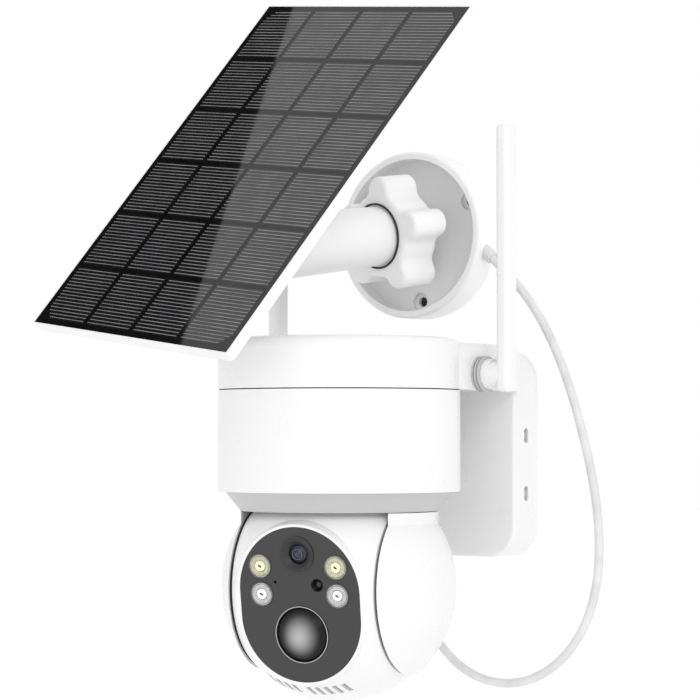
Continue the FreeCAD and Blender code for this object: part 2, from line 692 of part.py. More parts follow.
def lamp_places():
    return [("%d * lamp_across" % side, up) for up in ("lamp_upper", "lamp_lower")
            for side in (-1, 1)]


def make_head_shells():
    place = ball_place()
    slab = block("ball_slab", [("-ball_half", "ball_half"), ("-face_reach", 60), (-60, 60)])
    round_part = common("ball_round", [ball("ball_skin", "ball_radius"), slab])
    nose = snout("nose", "face_radius + snout_rim", "face_reach", 18, taper=14)
    outer = fuse("ball_outer", [round_part, nose])
    core = common("ball_core", [ball("ball_inside", "ball_radius - ball_wall"),
                                block("core_slab", [("-recess_floor + ball_wall",
                                                     "recess_floor - ball_wall"),
                                                    (-60, 60), (-60, 60)])])
    seat = snout("face_seat", "face_radius + 0.1", "face_reach", "face_sheet + 0.2")
    throat = snout("face_throat", "face_radius - 1.5", "face_reach", 16)
    recesses = [cylinder("side_recess", "recess_radius", 20, (across, 0, 0), turn)
                for across, turn in (("recess_floor", ALONG_X),
                                     ("-recess_floor", Rotation(Vector(0, 1, 0), -90)))]
    axle = cylinder("ball_axle_bore", "hub_bore", 80, (-40, 0, 0), ALONG_X)
    spindle = cylinder("ball_spindle_bore", 2.5, 8, ("recess_floor - 4", *pinion_offset()), ALONG_X)
    pitch = size("vent_pitch")
    slots = [vent_slot(-size("vent_left") - pitch * i) for i in range(4)]
    slots += [vent_slot(-size("vent_right") + pitch * i) for i in range(5)]
    whole = cut("ball_hollowed", outer, [core, seat, throat, axle, spindle] + recesses + slots)
    for name, spans in (("front", (-60, 0)), ("rear", (0, 60))):
        half = block("half_" + name, [(-60, 60), spans, (-60, 60)])
        node("ball_shell_" + name, common("ball_shell_" + name, [whole, half]), place)


def vent_slot(across):
    """One slanted slot under the chin, for the speaker."""
    slot = doc.addObject("Part::Box", "vent_slot")
    bind(slot, Length="vent_width", Width="vent_length", Height=12)
    slant = Rotation(Vector(0, 0, 1), size("vent_slant"))
    down = Rotation(Vector(1, 0, 0), size("vent_lean"))
    start = down.multVec(Vector(across, 0, size("ball_radius") - 7))
    slot.Placement = Placement(start, down * slant)
    return slot


def pinion_offset():
    """The tilt pinion's place behind the ball's axle, along Y and Z."""
    return ("(tilt_gear_teeth + tilt_pinion_teeth) / 2 * gear_module", 0)


def make_face():
    place = ball_place()
    plate = snout("face_blank", "face_radius", "face_reach - 0.2", "face_sheet")
    front = "face_reach + 1"
    back = "face_reach - 5"
    holes = [face_peg("lens_hole", "lens_radius", 0, "lens_up", front, back),
             face_peg("pir_hole", "pir_radius", 0, "pir_down", front, back),
             face_peg("eye_hole", "eye_radius", "eye_across", "eye_up", front, back),
             face_peg("mic_hole", "mic_radius", "mic_across", "mic_up", front, back)]
    holes += [face_peg("lamp_hole", "lamp_radius", across, up, front, back)
              for across, up in lamp_places()]
    node("face_plate", cut("face_plate", plate, holes), place)


def make_lens():
    place = ball_place()
    barrel = face_peg("barrel_blank", "lens_radius", 0, "lens_up", "face_reach + 0.4",
                      "face_reach - 9")
    holder = face_peg("barrel_holder", "lens_radius + 2", 0, "lens_up", "face_reach - 4",
                      "face_reach - 14")
    mouth = cone("barrel_mouth", 4.1, 7, 3, (0, "-face_reach + 2.6", "lens_up"), TOWARD_VIEW)
    bore = face_peg("barrel_bore", 4.1, 0, "lens_up", "face_reach", "face_reach - 15")
    node("lens_barrel", cut("lens_barrel", fuse("barrel_solid", [barrel, holder]),
                            [mouth, bore]), place)
    dome = ball("glass_dome", 7.5, (0, "-face_reach + 9.2", "lens_up"))
    tube = face_peg("glass_tube", 4.0, 0, "lens_up", "face_reach", "face_reach - 5")
    node("lens_glass", common("lens_glass", [dome, tube]), place)


def make_lamps():
    place = ball_place()
    front = "face_reach - 0.1"
    cups, chips = [], []
    for across, up in lamp_places():
        rim = face_peg("lamp_rim", "lamp_radius", across, up, front, "face_reach - 7")
        dish = cone("lamp_dish", 2, "lamp_radius - 0.7", 5,
                    (across, "-face_reach + 5.1", up), TOWARD_VIEW)
        cups.append(cut("lamp_cup", rim, [dish]))
        chips.append(face_peg("lamp_chip", 1.7, across, up, "face_reach - 4",
                              "face_reach - 5.1"))
    node("lamp_reflectors", group("lamp_reflectors", cups), place)
    node("lamp_chips", group("lamp_chips", chips), place)
    lenses = [face_peg("lamp_lens", "lamp_radius - 1.3", across, up, "face_reach - 0.2",
                       "face_reach - 0.9") for across, up in lamp_places()]
    node("lamp_lenses", group("lamp_lenses", lenses), place)


def make_sensors():
    place = ball_place()
    dome = ball("pir_dome", "pir_radius + 1", (0, "-face_reach + 8.5", "pir_down"))
    hollow = ball("pir_hollow", "pir_radius", (0, "-face_reach + 8.5", "pir_down"))
    limit = face_peg("pir_limit", "pir_radius - 0.8", 0, "pir_down", "face_reach + 8",
                     "face_reach - 2")
    dome = common("pir_cap", [dome, limit])
    node("pir_lens", cut("pir_lens", dome, [hollow]), place)
    bezel = face_peg("pir_bezel_blank", "pir_radius", 0, "pir_down", "face_reach + 0.3",
                     "face_reach - 2.2")
    opening = face_peg("pir_bezel_hole", "pir_radius - 0.75", 0, "pir_down", "face_reach + 1",
                       "face_reach - 3")
    node("pir_bezel", cut("pir_bezel", bezel, [opening]), place)
    node("light_sensor", face_peg("light_sensor", "eye_radius", "eye_across", "eye_up",
                                  "face_reach - 1.4", "face_reach - 7"), place)
    chin = Rotation(Vector(1, 0, 0), 147)
    start = chin.multVec(Vector(0, 2, size("ball_radius") - 19))
    node("speaker", cylinder("speaker", 11, 6), place * Placement(start, chin))


def make_head_boards():
    """The lamp board with its motion sensor and microphone, and the image sensor's board."""
    board = snout("lamp_board_blank", "face_radius - 3", "face_reach - 7", 1.2)
    hole = face_peg("board_lens_hole", "lens_radius + 2.2", 0, "lens_up", "face_reach",
                    "face_reach - 12")
    lamp_board = cut("lamp_board", board, [hole])
    motion = face_peg("motion_sensor", 4.6, 0, "pir_down", "face_reach - 2.8", "face_reach - 7")
    microphone = face_peg("microphone", 2, "mic_across", "mic_up", "face_reach - 2.4",
                          "face_reach - 7")
    imager = block("sensor_board", [(-13, 13), ("-face_reach + 14", "-face_reach + 15.2"),
                                    ("lens_up - 13", "lens_up + 8")])
    node("head_boards", group("head_boards", [lamp_board, motion, microphone, imager]),
         ball_place())


def make_tilt_drive():
    place = ball_place()
    hubs, clips = [], []
    for side in (-1, 1):
        turn = ALONG_X if side > 0 else Rotation(Vector(0, 1, 0), -90)
        flange = cylinder("hub_flange", "hub_radius + 1.8", 1.2, ("%d * recess_floor" % side, 0, 0),
                          turn)
        journal = cylinder("hub_journal", "hub_radius", 9.5, ("%d * recess_floor" % side, 0, 0), turn)
        bore = cylinder("hub_hole", "hub_bore", 20, ("%d * (recess_floor - 2)" % side, 0, 0), turn)
        hubs.append(cut("tilt_hub", fuse("hub_solid", [flange, journal]), [bore]))
        clips.append(ring("hub_clip", "hub_radius + 2.4", "hub_radius", 0.9,
                          ("%d * (plate_inner + plate_sheet + 0.2)" % side, 0, 0), turn))
    node("tilt_hubs", group("tilt_hubs", hubs), place)
    node("hub_clips", group("hub_clips", clips), place)
    wheel = gear("tilt_wheel", "tilt_gear_teeth", "3.2", "hub_radius + 0.4")
    wheel.Placement = Placement(Vector(size("plate_inner") - 4.4, 0, 0), ALONG_X)
    boss = ring("tilt_boss", "hub_radius + 4", "hub_radius + 0.4", 1.4,
                ("plate_inner - 1.4", 0, 0), ALONG_X)
    node("tilt_gear", fuse("tilt_gear", [wheel, boss]), yoke_place())
    teeth = size("tilt_pinion_teeth")
    pitch = (size("tilt_gear_teeth") + teeth) / 2 * size("gear_module")
    small = gear("tilt_small_wheel", "tilt_pinion_teeth", "3.2", "1.5")
    # the gear stays level with the yoke while the ball starts tipped down by the rest angle
    mesh = tilt_mesh_angle()
    small.Placement = Placement(Vector(size("plate_inner") - 4.4, pitch, 0),
                                ALONG_X * Rotation(Vector(0, 0, 1), mesh))
    spindle = cylinder("tilt_spindle", 1.5, "plate_inner - 1.2 - recess_floor + ball_wall + 6",
                       ("recess_floor - ball_wall - 6", *pinion_offset()), ALONG_X)
    node("tilt_pinion", fuse("tilt_pinion", [small, spindle]), place)
    case = cylinder("tilt_motor_case", 9.5, 16, ("recess_floor - ball_wall - 17", *pinion_offset()),
                    ALONG_X)
    bore = cylinder("tilt_motor_bore", 1.55, 20, ("recess_floor - ball_wall - 17", *pinion_offset()),
                    ALONG_X)
    node("tilt_motor", cut("tilt_motor", case, [bore]), place)


def tilt_mesh_angle():
    """Turn of the pinion, about +X in the ball's frame, that puts its teeth in the gear's gaps."""
    gear_teeth = size("tilt_gear_teeth")
    pinion_teeth = size("tilt_pinion_teeth")
    first_gear_tooth = -90 - size("tilt_rest")
    pitch_angle = 360 / gear_teeth
    offset = (0 - first_gear_tooth) % pitch_angle
    return 90 + 180 + 180 / pinion_teeth + offset * gear_teeth / pinion_teeth


# ---------------------------------------------------------------- panel bracket on the wall

def dish_peg(name, radius, low, high, across=0, up=0):
    """A cylinder square to the wall, from its low to its high distance off the wall."""
    return cylinder(name, radius, "(%s) - (%s)" % (high, low),
                    ("dish_across + %s" % across, "-(%s)" % low, "dish_height + %s" % up),
                    TOWARD_VIEW)


def make_wall_dish():
    rim = dish_peg("dish_blank", "dish_radius", 0, "dish_depth")
    front = -size("dish_depth")
    rim = rounded("dish_rim", rim, 1.5, lambda e: lies_at(e, "y", front))
    hollow = dish_peg("dish_hollow", "dish_recess", "dish_floor", "dish_depth + 1")
    cup = cut("dish_cup", rim, [hollow])
    tools = [dish_peg("dish_stud_hole", "stud_radius", 0, "dish_floor + 1")]
    for angle in (30, 150, 270):
        across = "dish_circle * %.8f" % math.cos(math.radians(angle))
        up = "dish_circle * %.8f" % math.sin(math.radians(angle))
        tools.append(dish_peg("dish_hole", "wall_hole_radius", 0, "dish_floor", across, up))
        tools.append(dish_peg("dish_sink", "dish_sink", "dish_floor - 2", "dish_floor + 1",
                              across, up))
    start = CABLE_ROUTE[0]
    leave = Vector(*CABLE_ROUTE[1]) - Vector(*start)
    turn = Rotation(Vector(0, 0, 1), leave)
    tools.append(grommet_blank("dish_notch", start, leave, turn, 3))
    node("panel_wall_plate", cut("panel_wall_plate", cup, tools))
    sleeve = grommet_blank("grommet_sleeve", start, leave, turn, 3)
    inner = grommet_blank("grommet_bore", start, leave, turn, 1.6)
    node("cable_grommet", cut("cable_grommet", sleeve, [inner]))


def grommet_blank(name, start, leave, turn, radius):
    peg = doc.addObject("Part::Cylinder", name)
    peg.Radius = radius
    peg.Height = 10
    peg.Placement = Placement(Vector(*start) - leave * (10 / leave.Length), turn)
    return peg


def joint_centre():
    return Vector(size("dish_across"), -size("joint_reach"), size("dish_height"))


def panel_turn():
    return (Rotation(Vector(0, 0, 1), size("panel_yaw"))
            * Rotation(Vector(1, 0, 0), size("panel_lean"))
            * Rotation(Vector(0, 0, 1), size("panel_roll")))


def arm_place():
    """The arm's frame: origin at the ball joint, +Z along the arm, +X along the elbow pin."""
    return Placement(joint_centre(), panel_turn() * Rotation(Vector(1, 0, 0), size("arm_bend")))


def panel_place():
    """The panel's frame: origin in the middle of its front face, +Z out of the face."""
    elbow = arm_place().multVec(Vector(0, 0, size("arm_length")))
    turn = panel_turn()
    centre = elbow + turn.multVec(Vector(0, size("elbow_down"), size("elbow_depth")))
    return Placement(centre, turn)


def make_ball_joint():
    neck = dish_peg("stud_neck", "stud_radius", 0, "joint_reach")
    collar = dish_peg("stud_collar", 9, "dish_floor", "dish_floor + 4")
    head = ball("stud_ball", "joint_ball", ("dish_across", "-joint_reach", "dish_height"))
    node("ball_stud", fuse("ball_stud", [neck, collar, head]))
    place = arm_place()
    for name, low in (("inner", 0.2), ("outer", 1.0)):
        skin = ball("liner_skin", "joint_ball + %s + 0.6" % low)
        space = ball("liner_space", "joint_ball + %s" % low)
        band = block("liner_band", [(-20, 20), (-20, 20), (-2.5, 2.5)])
        node("joint_liner_" + name,
             cut("joint_liner_" + name, common("liner_whole", [skin, band]), [space]), place)


def make_arm():
    place = arm_place()
    shoulder = "knob_high + 0.6"
    end = "arm_length - elbow_radius - 15"
    collet = cylinder("collet", "collet_radius", "%s + 6" % shoulder, (0, 0, -6))
    tube = cone("arm_tube", "arm_root_radius", "arm_end_radius", "%s - (%s)" % (end, shoulder),
                (0, 0, shoulder))
    socket = cylinder("collet_socket", "collet_bore", 17.5, (0, 0, -6.5))
    slits = [block("collet_slit", [(-0.7, 0.7), (-16, 16), (-6.5, 8)]),
             block("collet_slit", [(-16, 16), (-0.7, 0.7), (-6.5, 8)])]
    bore = cylinder("arm_bore", "arm_bore", "%s - 14" % end, (0, 0, 11))
    cap = cylinder("elbow_cap", "arm_end_radius", 6, (0, 0, end))
    tongue = block("elbow_tongue", [("-tongue_half", "tongue_half"),
                                    ("-elbow_radius", "elbow_radius"),
                                    ("%s + 3" % end, "arm_length")])
    eye = cylinder("elbow_eye", "elbow_radius", "2 * tongue_half",
                   ("-tongue_half", 0, "arm_length"), ALONG_X)
    hole = cylinder("elbow_hole", "side_screw_radius + 1 + fit_gap", 40, (-20, 0, "arm_length"),
                    ALONG_X)
    node("panel_arm", cut("panel_arm", fuse("arm_solid", [collet, tube, cap, tongue, eye]),
                          [socket, bore, hole] + slits), place)


def make_knob():
    place = arm_place()
    grip = new_body("knob_grip")
    core = new_sketch(grip, "knob_core", "XY_Plane", "knob_low")
    circle(core, "knob_radius - knob_lobe - 1.5")
    pad(grip, "knob_core_pad", core, "knob_high - knob_low")
    lobe = new_sketch(grip, "knob_lobe", "XY_Plane", "knob_low")
    circle(lobe, "knob_lobe", "knob_radius - knob_lobe", 0)
    first = pad(grip, "knob_lobe_pad", lobe, "knob_high - knob_low")
    copies_round(grip, "knob_lobes", first, "Z_Axis", 5)
    soften(grip, "knob_valleys", 5, lambda e: runs_along(e, Vector(0, 0, 1)))
    low, high = size("knob_low"), size("knob_high")
    soften(grip, "knob_round", 2, lambda e: lies_at(e, "z", low) or lies_at(e, "z", high))
    grip.Placement = Placement(Vector(0, 0, 0), Rotation(Vector(0, 0, 1), size("knob_phase")))
    bore = cylinder("knob_bore", "collet_radius + 2 * fit_gap", 40, (0, 0, -20))
    recess = cylinder("knob_recess", "collet_radius + 3", 10, (0, 0, "knob_low - 1"))
    node("star_knob", cut("star_knob", grip, [bore, recess]), place)
    node("clamp_ring", ring("clamp_ring", "collet_radius + 2.7", "collet_radius + 2 * fit_gap", 3,
                            (0, 0, -5)), place)


# ---------------------------------------------------------------- solar panel

def make_panel():
    place = panel_place()
    tray = new_body("tray")
    outline = new_sketch(tray, "tray_outline", "XY_Plane")
    rectangle(outline, "panel_width + 2 * panel_lip", "panel_height + 2 * panel_lip")
    pad(tray, "tray_pad", outline, "panel_depth", backward=True)
    soften(tray, "tray_corners", 2, lambda e: runs_along(e, Vector(0, 0, 1)))
    seat = new_sketch(tray, "tray_seat", "XY_Plane")
    rectangle(seat, "panel_width + 0.1", "panel_height + 0.1")
    pocket(tray, "tray_pocket", seat, "laminate_sheet + glass_sheet + 0.2")
    node("panel_frame", tray, place)
    back = "-glass_sheet - 0.2 - laminate_sheet"
    half_wide = "panel_width / 2"
    half_tall = "panel_height / 2"
    whole = [("-" + half_wide, half_wide), ("-" + half_tall, half_tall)]
    node("solar_backing", block("solar_backing", whole + [(back, "-glass_sheet - 0.2")]), place)
    cells = []
    for column in range(4):
        for row in range(6):
            cells.append(solar_cell(column, row))
    node("solar_cells", group("solar_cells", cells), place)
    node("panel_glass", block("panel_glass", whole + [("-glass_sheet", 0)]), place)


def solar_cell(column, row):
    """One cell of the four by six grid."""
    wide = "(panel_width - 3) / 4"
    tall = "(panel_height - 3) / 6"
    left = "%d * %s" % (column - 2, wide)
    low = "%d * %s" % (row - 3, tall)
    return block("solar_cell", [("%s + cell_gap / 2" % left, "%s + %s - cell_gap / 2" % (left, wide)),
                                ("%s + cell_gap / 2" % low, "%s + %s - cell_gap / 2" % (low, tall)),
                                ("-glass_sheet - 0.2", "-glass_sheet")])


def make_panel_mount():
    place = panel_place()
    back = "-panel_depth"
    base = block("foot_base", [(-24, 24), ("-elbow_down - 20", "-elbow_down + 26"),
                               ("%s - 3" % back, back)])
    ears = []
    for side in (-1, 1):
        near = "%d * (tongue_half + 0.4)" % side
        far = "%d * (tongue_half + 0.4 + ear_sheet)" % side
        across = (near, far) if side > 0 else (far, near)
        ears.append(block("foot_ear", [across, ("-elbow_down - elbow_radius",
                                                "-elbow_down + elbow_radius"),
                                       ("-elbow_depth", "%s - 2" % back)]))
        start = "%d * (tongue_half + 0.4)" % side
        turn = ALONG_X if side > 0 else Rotation(Vector(0, 1, 0), -90)
        ears.append(cylinder("foot_eye", "elbow_radius", "ear_sheet",
                             (start, "-elbow_down", "-elbow_depth"), turn))
    solid = fuse("foot_solid", [base] + ears)
    hole = cylinder("foot_hole", "side_screw_radius + 1", 60, (-30, "-elbow_down", "-elbow_depth"),
                    ALONG_X)
    places = [(across, "-elbow_down + %s" % up) for across in (-19, 19) for up in (-15, 21)]
    holes = [cylinder("foot_screw_hole", 1.6, 8, (across, up, "%s - 4" % back))
             for across, up in places]
    node("panel_foot", cut("panel_foot", solid, [hole] + holes), place)
    screws = []
    for across, up in places:
        shank = cylinder("foot_screw_shank", 1.6, 3, (across, up, "%s - 3" % back))
        head = cylinder("foot_screw_head", 3, 1.8, (across, up, "%s - 4.8" % back))
        screws.append(fuse("foot_screw", [shank, head]))
    node("foot_screws", group("foot_screws", screws), place)
    reach = "tongue_half + ear_sheet + 0.4"
    shank = cylinder("bolt_shank", "side_screw_radius + 1", "2 * (%s) + 5" % reach,
                     ("-(%s)" % reach, "-elbow_down", "-elbow_depth"), ALONG_X)
    head = cylinder("bolt_head", 4.5, 3, ("-(%s) - 3" % reach, "-elbow_down", "-elbow_depth"),
                    ALONG_X)
    node("elbow_bolt", fuse("elbow_bolt", [shank, head]), place)
    hub = cylinder("nut_hub", 5, 5, (reach, "-elbow_down", "-elbow_depth"), ALONG_X)
    wings = block("nut_wings", [("%s + 1.2" % reach, "%s + 4" % reach),
                                ("-elbow_down - 11", "-elbow_down + 11"),
                                ("-elbow_depth - 2", "-elbow_depth + 2")])
    bore = cylinder("nut_bore", "side_screw_radius + 1 + fit_gap", 20,
                    (reach, "-elbow_down", "-elbow_depth"), ALONG_X)
    node("wing_nut", cut("wing_nut", fuse("nut_solid", [hub, wings]), [bore]), place)
    node("junction_box", block("junction_box", [(-20, 20), (14, 44), ("%s - 9" % back, back)]),
         place)


# ---------------------------------------------------------------- cable

def rounded_route(points):
    """Straight runs joined by tangent arcs, each as large as its two runs allow."""
    points = [Vector(*point) for point in points]
    edges = []
    radii = []
    start = points[0]
    for before, corner, after in zip(points, points[1:], points[2:]):
        arrive = corner - before
        leave = after - corner
        run = min(arrive.Length, leave.Length)
        turn = arrive.getAngle(leave)
        trim = 0.45 * run
        radius = trim / math.tan(turn / 2)
        radii.append(radius)
        arrive.normalize()
        leave.normalize()
        first = corner - arrive * trim
        last = corner + leave * trim
        outward = arrive - leave
        outward.normalize()
        middle = corner - outward * (radius / math.cos(turn / 2) - radius)
        edges.append(Part.LineSegment(start, first).toShape())
        edges.append(Part.Arc(first, middle, last).toShape())
        start = last
    edges.append(Part.LineSegment(start, points[-1]).toShape())
    print("cable radii", ["%.0f" % radius for radius in radii])
    return Part.Wire(edges)


def make_cable():
    wire = rounded_route(CABLE_ROUTE)
    radius = size("cable_radius")
    first = Vector(*CABLE_ROUTE[0])
    leave = Vector(*CABLE_ROUTE[1]) - first
    section = Part.Wire([Part.makeCircle(radius, first, leave)])
    tube = wire.makePipeShell([section], True, False)
    ideal = math.pi * radius ** 2 * wire.Length
    print("cable length %.1f, volume %.1f of %.1f" % (wire.Length, tube.Volume, ideal))
    feature = doc.addObject("Part::Feature", "panel_cable")
    feature.Shape = tube
    node("panel_cable", feature)
    end = CABLE_ROUTE[-1]
    plug = cylinder("plug_body", 4.2, "-box_height / 2 - 0.1 - (%s)" % end[2],
                    ("socket_across", "-box_depth / 2", end[2]))
    tip = cylinder("plug_tip", "socket_bore - 0.05", "socket_length - 4",
                   ("socket_across", "-box_depth / 2", "-box_height / 2 - 1"))
    node("cable_plug", fuse("cable_plug", [plug, tip]))


# ---------------------------------------------------------------- build, check, export

def check_and_export():
    doc.recompute()
    failed = [item.Label for item in doc.Objects if {"Invalid", "Error"} & set(item.State)]
    failed += [label for label, item in nodes.items()
               if item.Shape.isNull() or not item.Shape.isValid()]
    if failed:
        raise RuntimeError("failed: %s" % failed)
    for label, item in nodes.items():
        item.Shape.exportStep("parts/%s.step" % label)
    print(len(nodes), "nodes written")


make_wall_bracket()
make_side_screws()
make_rear_box()
make_power_socket()
make_body_shell()
make_top_cover()
make_body_trim()
make_chassis()
make_pan_drive()
make_electronics()
make_antenna_seats()
make_antenna("left", -1)
make_antenna("right", 1)
make_yoke()
make_head_shells()
make_face()
make_lens()
make_lamps()
make_sensors()
make_head_boards()
make_tilt_drive()
make_wall_dish()
make_ball_joint()
make_arm()
make_knob()
make_panel()
make_panel_mount()
make_cable()
check_and_export()
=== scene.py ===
import json
import math

import bmesh
import bpy
from mathutils import Matrix, Vector


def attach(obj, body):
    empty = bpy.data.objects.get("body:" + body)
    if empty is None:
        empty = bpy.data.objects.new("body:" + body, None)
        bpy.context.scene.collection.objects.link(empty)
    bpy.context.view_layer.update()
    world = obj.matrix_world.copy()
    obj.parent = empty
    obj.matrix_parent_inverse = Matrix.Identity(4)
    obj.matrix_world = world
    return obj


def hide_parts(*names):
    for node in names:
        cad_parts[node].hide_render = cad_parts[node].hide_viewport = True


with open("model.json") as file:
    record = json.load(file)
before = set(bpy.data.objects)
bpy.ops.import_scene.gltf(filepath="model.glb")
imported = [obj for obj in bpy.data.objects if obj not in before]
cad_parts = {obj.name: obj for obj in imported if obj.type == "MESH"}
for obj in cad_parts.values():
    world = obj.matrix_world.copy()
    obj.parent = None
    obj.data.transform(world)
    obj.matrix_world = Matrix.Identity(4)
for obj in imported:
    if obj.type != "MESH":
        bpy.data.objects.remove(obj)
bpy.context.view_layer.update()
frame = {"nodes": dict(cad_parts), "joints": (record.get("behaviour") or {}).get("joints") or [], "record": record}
JOINTS = {joint["name"]: joint for joint in frame["joints"]}

# ---------------------------------------------------------------- places

VIEW_AZIMUTH = math.radians(35)
VIEW_PITCH = math.radians(1.9)
VIEW_DISTANCE = 1.128
VIEW_AIM = Vector((0.0042, -0.0898, 0.0451))
SENSOR = 0.036
LENS = 0.1337
WORLD = 1.0

PAN_REST = math.radians(10)
TILT_REST = math.radians(9)
PANEL_YAW = math.radians(-7.7)
PANEL_LEAN = math.radians(52.2)
PANEL_ROLL = math.radians(-9)
ARM_BEND = math.radians(45.8)
PANEL_OFFSET = Vector((0, 0.032, 0.020))
PANEL_WIDTH = 0.1353
PANEL_HEIGHT = 0.1931
FACE = 0.039
CABLE_DIAMETER = 0.004
ARM_END_RADIUS = 14.7
YOKE_INNER = 34.6
YOKE_SHADOW_DISC_RADIUS = 36
YOKE_HUB = 10.5
DISH_ACROSS = -0.015
DISH_UP = 0.1007
DISH_CIRCLE = 0.0305
PIR_UP = -0.0127
SENSOR_PLACE = (0.0085, 0.0086)

# The cable's route from the wall plate's grommet round to the plug under the rear box.
CABLE_ROUTE = [
    (0.0262, -0.008, 0.0886), (0.038, -0.0085, 0.0783), (0.0495, -0.009, 0.065),
    (0.0595, -0.0095, 0.0485), (0.068, -0.010, 0.029), (0.0746, -0.010, 0.008),
    (0.0798, -0.010, -0.013), (0.0826, -0.010, -0.034), (0.082, -0.010, -0.055),
    (0.0766, -0.010, -0.074), (0.0665, -0.010, -0.089), (0.0525, -0.010, -0.0995),
    (0.037, -0.010, -0.104), (0.0215, -0.010, -0.1028), (0.008, -0.010, -0.0965),
    (-0.003, -0.010, -0.086), (-0.010, -0.010, -0.074), (-0.010, -0.010, -0.062)]


def turned(angle, axis):
    return Matrix.Rotation(angle, 4, axis)


def ball_matrix():
    """The camera ball's frame: origin at its centre, -Y out of the face."""
    centre = Matrix.Translation(Vector(JOINTS["tilt"]["pos_m"]))
    return centre @ turned(PAN_REST, "Z") @ turned(TILT_REST, "X")


def panel_turn():
    """The panel's turn: +Z out of its front face."""
    return turned(PANEL_YAW, "Z") @ turned(PANEL_LEAN, "X") @ turned(PANEL_ROLL, "Z")


def panel_matrix():
    """The panel's frame: origin in the middle of its front face, +Z out of it."""
    elbow = Matrix.Translation(Vector(JOINTS["panel_tilt"]["pos_m"]))
    return elbow @ panel_turn() @ Matrix.Translation(PANEL_OFFSET)


def arm_turn():
    """The arm's turn: +Z along the arm, away from the wall."""
    return panel_turn() @ turned(ARM_BEND, "X")


BALL = ball_matrix()
ARM_TURN = arm_turn()
PANEL = panel_matrix()
# a face part is drawn round +Z with Z = 0 at the face's plane
ON_FACE = BALL @ Matrix.Translation((0, -FACE, 0)) @ turned(math.radians(90), "X")


# ---------------------------------------------------------------- camera and cable

def make_camera():
    data = bpy.data.cameras.new("camera")
    data.sensor_width = SENSOR * 1000
    data.lens = LENS * 1000
    data.clip_end = 50
    camera = bpy.data.objects.new("camera", data)
    bpy.context.scene.collection.objects.link(camera)
    back = Vector((math.sin(VIEW_AZIMUTH) * math.cos(VIEW_PITCH),
                   -math.cos(VIEW_AZIMUTH) * math.cos(VIEW_PITCH), -math.sin(VIEW_PITCH)))
    camera.location = VIEW_AIM + back * VIEW_DISTANCE
    camera.rotation_euler = back.to_track_quat("Z", "Y").to_euler()
    bpy.context.scene.camera = camera
    return camera


def make_cable(material, boot):
    data = bpy.data.curves.new("solar_lead", "CURVE")
    data.dimensions = "3D"
    data.bevel_depth = CABLE_DIAMETER / 2
    data.bevel_resolution = 5
    data.resolution_u = 12
    data.use_fill_caps = True
    spline = data.splines.new("NURBS")
    spline.points.add(len(CABLE_ROUTE) - 1)
    for point, place in zip(spline.points, CABLE_ROUTE):
        point.co = (*place, 1)
    spline.order_u = 3
    spline.use_endpoint_u = True
    data.materials.append(material)
    cable = bpy.data.objects.new("solar_lead", data)
    bpy.context.scene.collection.objects.link(cable)
    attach(cable, "root")
    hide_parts("panel_cable")


# ---------------------------------------------------------------- materials

class Shader:
    """A Principled material that is built up node by node."""

    def __init__(self, name, color, roughness, **sockets):
        self.material = bpy.data.materials.new(name)
        self.material.use_nodes = True
        self.tree = self.material.node_tree
        self.principled = self.tree.nodes["Principled BSDF"]
        self.color = (*color, 1)
        self.set("Base Color", self.color)
        self.set("Roughness", roughness)
        self.roughness = roughness
        for socket, value in sockets.items():
            self.set(socket.replace("_", " "), value)
        self.place = self.tree.nodes.new("ShaderNodeTexCoord").outputs["Object"]
        self.height = None

    def set(self, socket, value):
        self.principled.inputs[socket].default_value = value

    def link(self, output, node, socket):
        self.tree.links.new(output, node.inputs[socket])

    def noise(self, size, detail=3):
        """Noise whose lumps are about this many metres across."""
        node = self.tree.nodes.new("ShaderNodeTexNoise")
        node.inputs["Scale"].default_value = 1 / size
        node.inputs["Detail"].default_value = detail
        self.link(self.place, node, "Vector")
        return node.outputs["Fac"]

    def ranged(self, value, low, high, start=0.3, end=0.7):
        node = self.tree.nodes.new("ShaderNodeMapRange")
        node.inputs["From Min"].default_value = start
        node.inputs["From Max"].default_value = end
        node.inputs["To Min"].default_value = low
        node.inputs["To Max"].default_value = high
        self.link(value, node, "Value")
        return node.outputs["Result"]

    def vary_color(self, value, other, start=0.3, end=0.7):
        """Blend the base colour towards another one where the value is high."""
        ramp = self.tree.nodes.new("ShaderNodeValToRGB")
        ramp.color_ramp.interpolation = "EASE"
        ramp.color_ramp.elements[0].position = start
        ramp.color_ramp.elements[0].color = self.color
        ramp.color_ramp.elements[1].position = end
        ramp.color_ramp.elements[1].color = (*other, 1)
        self.link(value, ramp, "Fac")
        self.link(ramp.outputs["Color"], self.principled, "Base Color")

    def vary_roughness(self, value, spread):
        low = max(self.roughness - spread, 0)
        result = self.ranged(value, low, self.roughness + spread)
        self.link(result, self.principled, "Roughness")

    def bump(self, value, depth):
        """Raise the surface where the value is high, by up to this many metres."""
        node = self.tree.nodes.new("ShaderNodeBump")
        node.inputs["Strength"].default_value = 1
        node.inputs["Distance"].default_value = depth
        self.link(value, node, "Height")
        if self.height is not None:
            self.link(self.height, node, "Normal")
        self.height = node.outputs["Normal"]
        self.link(self.height, self.principled, "Normal")


def scaled(color, share):
    return [share * channel for channel in color]


def moulded(name, color, roughness, grain=0.0006, depth=0.000004, **sockets):
    """Moulded plastic: a fine grain, faint flow marks and uneven gloss."""
    shader = Shader(name, color, roughness, **sockets)
    shader.vary_color(shader.noise(0.06, 1), scaled(color, 0.988), 0.2, 0.8)
    shader.vary_roughness(shader.noise(0.02, 2), 0.04)
    shader.bump(shader.noise(grain, 2), depth)
    return shader.material


def metal(name, color, roughness):
    """Machined metal with fine turning marks."""
    shader = Shader(name, color, roughness, Metallic=1.0)
    shader.vary_color(shader.noise(0.006, 4), scaled(color, 0.82))
    shader.vary_roughness(shader.noise(0.002, 4), 0.08)
    shader.bump(shader.noise(0.0004, 2), 0.00001)
    return shader.material


